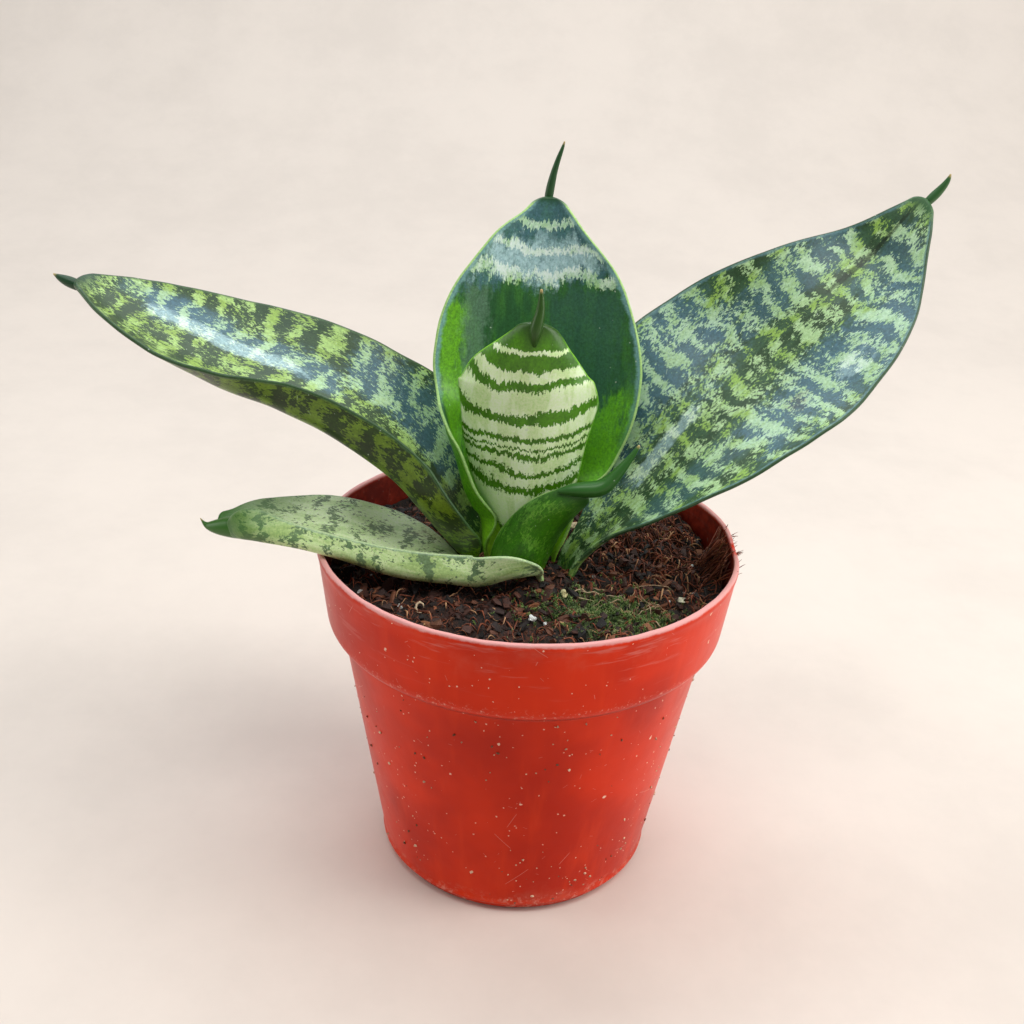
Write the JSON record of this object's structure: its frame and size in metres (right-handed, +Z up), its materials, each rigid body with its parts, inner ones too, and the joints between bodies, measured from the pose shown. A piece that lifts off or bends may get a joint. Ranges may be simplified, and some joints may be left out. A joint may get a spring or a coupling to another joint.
{
  "type": "potted snake plant",
  "caption": "Dwarf rosette snake plant with broad banded pointed leaves, rooted in potting mix in a tapered red plastic nursery pot with a deep collar.",
  "frame": {"origin": "middle of the pot's flat underside, on the surface that the pot stands on", "axes": "+Z up along the pot's axis, +X towards the right-hand leaf along the plant's longest reach, -Y towards the side that the picture was taken from"},
  "size_m": [0.2435, 0.12, 0.2066],
  "materials": {
    "pot_plastic": "worn orange-red polypropylene, semi-gloss with scuffs and dust",
    "potting_mix": "dark peat and coir mix, matt",
    "rhizome_skin": "tan fibrous skin, matt",
    "leaf_back_skin": "waxy dark green with pale bands",
    "leaf_centre_skin": "waxy mint green with olive bands",
    "leaf_hook_skin": "waxy deep green",
    "leaf_right_skin": "waxy blue-green with pale mottled bands",
    "leaf_left_skin": "waxy dark green with yellow-green mottled bands",
    "leaf_front_skin": "dull yellow-green mottled, dusty"
  },
  "bodies": {
    "root": {"pot": "pot_plastic", "soil": "potting_mix", "rhizome": "rhizome_skin", "leaf_back": "leaf_back_skin", "leaf_centre": "leaf_centre_skin", "leaf_hook": "leaf_hook_skin", "leaf_right": "leaf_right_skin", "leaf_left": "leaf_left_skin", "leaf_front": "leaf_front_skin"}
  },
  "joints": []
}
